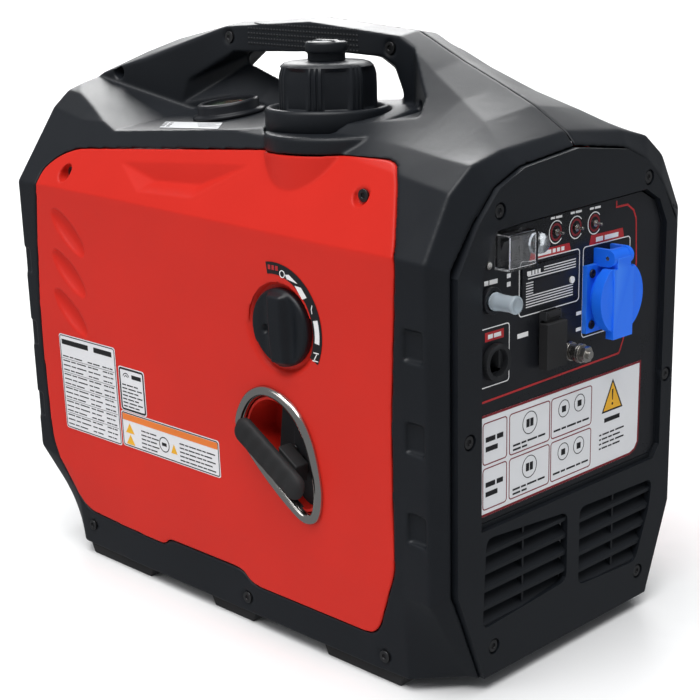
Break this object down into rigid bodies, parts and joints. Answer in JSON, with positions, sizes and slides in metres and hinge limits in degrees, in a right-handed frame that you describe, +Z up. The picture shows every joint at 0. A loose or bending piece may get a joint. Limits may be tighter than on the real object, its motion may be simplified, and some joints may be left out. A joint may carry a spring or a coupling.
{
  "type": "portable inverter generator",
  "caption": "Portable inverter generator in a moulded case with a carry handle, fuel filler, recoil starter, control knob and an end panel of outlets and switches.",
  "frame": {"origin": "centre of the bounding box's bottom, on the ground under the feet", "axes": "+X towards the control-panel end, +Y towards the service side (away from the starter), +Z up"},
  "size_m": [0.5142, 0.3082, 0.466],
  "materials": {
    "black_shell": "satin black moulded plastic with a fine grain",
    "red_cover": "semi-gloss red moulded plastic",
    "chrome_trim": "polished chromed plastic",
    "black_gloss": "smooth black plastic",
    "black_matte": "matt black plastic",
    "blue_plastic": "smooth bright blue plastic",
    "clear_cover": "clear moulded plastic",
    "white_label": "printed white sticker film",
    "rubber_black": "black rubber",
    "zinc_steel": "bright zinc-plated steel",
    "dark_screw": "black-oxide steel screw",
    "cast_aluminium": "die-cast aluminium",
    "iron": "machined cast iron",
    "copper_steel": "wound steel stack",
    "tank_plastic": "dark moulded fuel-tank plastic",
    "cord_fibre": "braided rope"
  },
  "bodies": {
    "frame": {"air_cleaner": "black_matte", "base_tray": "black_shell", "carburettor": "cast_aluminium", "case_screws": "dark_screw", "control_panel": "black_gloss", "crankcase": "cast_aluminium", "cylinder": "cast_aluminium", "cylinder_head": "cast_aluminium", "dc_socket": "black_matte", "earth_terminal": "zinc_steel", "end_frame": "black_shell", "engine_mounts": "rubber_black", "exhaust_cover": "black_shell", "fan_shroud": "black_matte", "feet": "rubber_black", "filler_collar": "black_shell", "front_shell": "black_shell", "fuel_tank": "tank_plastic", "fuel_valve": "cast_aluminium", "gauge_bezel": "black_gloss", "gauge_lens": "clear_cover", "indicator_lamps": "zinc_steel", "inverter_module": "cast_aluminium", "labels": "white_label", "lid_pin": "zinc_steel", "meter": "black_gloss", "muffler": "iron", "pocket_trim": "chrome_trim", "rear_shell": "black_shell", "recoil_spring": "zinc_steel", "reset_breaker": "black_gloss", "rope_guide": "black_matte", "service_cover": "red_cover", "side_cover": "red_cover", "socket_body": "blue_plastic", "spark_plug": "white_label", "starter_housing": "black_matte", "starter_pocket": "red_cover", "stator": "copper_steel", "switch_bezel": "black_gloss", "switch_cover": "clear_cover", "switch_lamp": "clear_cover", "usb_module": "black_gloss", "valve_cover": "iron"},
    "cap_carrier": {"cap_gasket": "rubber_black"},
    "cap": {"fuel_cap": "black_shell"},
    "vent_knob": {"cap_vent_knob": "black_shell"},
    "knob": {"run_knob": "black_shell"},
    "grip": {"starter_grip": "rubber_black"},
    "pulley": {"starter_pulley": "black_matte", "starter_rope": "cord_fibre"},
    "crank": {"crankshaft": "iron", "flywheel": "iron", "cooling_fan": "black_matte"},
    "piston_body": {"piston": "cast_aluminium"},
    "lid": {"socket_lid": "blue_plastic"},
    "rocker": {"eco_rocker": "black_gloss"},
    "reset": {"reset_button": "clear_cover"},
    "meter_push": {"meter_button": "white_label"},
    "usb_flap": {"usb_cover": "rubber_black"}
  },
  "joints": [
    {"name": "cap_lift", "type": "slide", "parent": "frame", "child": "cap_carrier", "axis": [0, 0, 1], "range_m": [0, 0.06]},
    {"name": "cap_turn", "type": "hinge", "parent": "cap_carrier", "child": "cap", "pos_m": [0.0549, -0.0609, 0.42], "axis": [0, 0, 1], "range_deg": [0, 270]},
    {"name": "vent_turn", "type": "hinge", "parent": "cap", "child": "vent_knob", "pos_m": [0.0549, -0.0609, 0.44], "axis": [0, 0, -1], "range_deg": [0, 180]},
    {"name": "knob_turn", "type": "hinge", "parent": "frame", "child": "knob", "pos_m": [0.0829, -0.1349, 0.254], "axis": [0, -1, 0], "range_deg": [0, 100]},
    {"name": "pulley_turn", "type": "hinge", "parent": "frame", "child": "pulley", "pos_m": [0.0349, -0.0949, 0.15], "axis": [0, 1, 0], "range_deg": [0, 550], "stiffness_Nm_per_rad": 0.02, "springref_deg": -515.66},
    {"name": "grip_pull", "type": "slide", "parent": "frame", "child": "grip", "axis": [0, -1, 0], "range_m": [0, 0.5]},
    {"name": "crank_turn", "type": "hinge", "parent": "frame", "child": "crank", "pos_m": [0.0349, 0.0051, 0.15], "axis": [0, 1, 0], "continuous": true},
    {"name": "piston_stroke", "type": "slide", "parent": "frame", "child": "piston_body", "axis": [1, 0, 0], "range_m": [0, 0.04]},
    {"name": "lid_swing", "type": "hinge", "parent": "frame", "child": "lid", "pos_m": [0.2452, 0.0429, 0.2983], "axis": [0, -1, 0], "range_deg": [0, 90], "stiffness_Nm_per_rad": 0.02, "springref_deg": -45.84},
    {"name": "rocker_tilt", "type": "hinge", "parent": "frame", "child": "rocker", "pos_m": [0.2309, -0.0679, 0.3195], "axis": [0, -1, 0], "range_deg": [0, 16]},
    {"name": "reset_push", "type": "slide", "parent": "frame", "child": "reset", "axis": [-1, 0, 0], "range_m": [0, 0.003], "stiffness_N_per_m": 300, "springref_m": -0.003},
    {"name": "meter_press", "type": "slide", "parent": "frame", "child": "meter_push", "axis": [-1, 0, 0], "range_m": [0, 0.0015], "stiffness_N_per_m": 400, "springref_m": -0.0015},
    {"name": "usb_swing", "type": "hinge", "parent": "frame", "child": "usb_flap", "pos_m": [0.2371, -0.0229, 0.266], "axis": [0, -1, 0], "range_deg": [0, 100]}
  ],
  "couplings": [
    {"joint": "grip_pull", "follows": "pulley_turn", "m_per_rad": 0.0515}
  ]
}
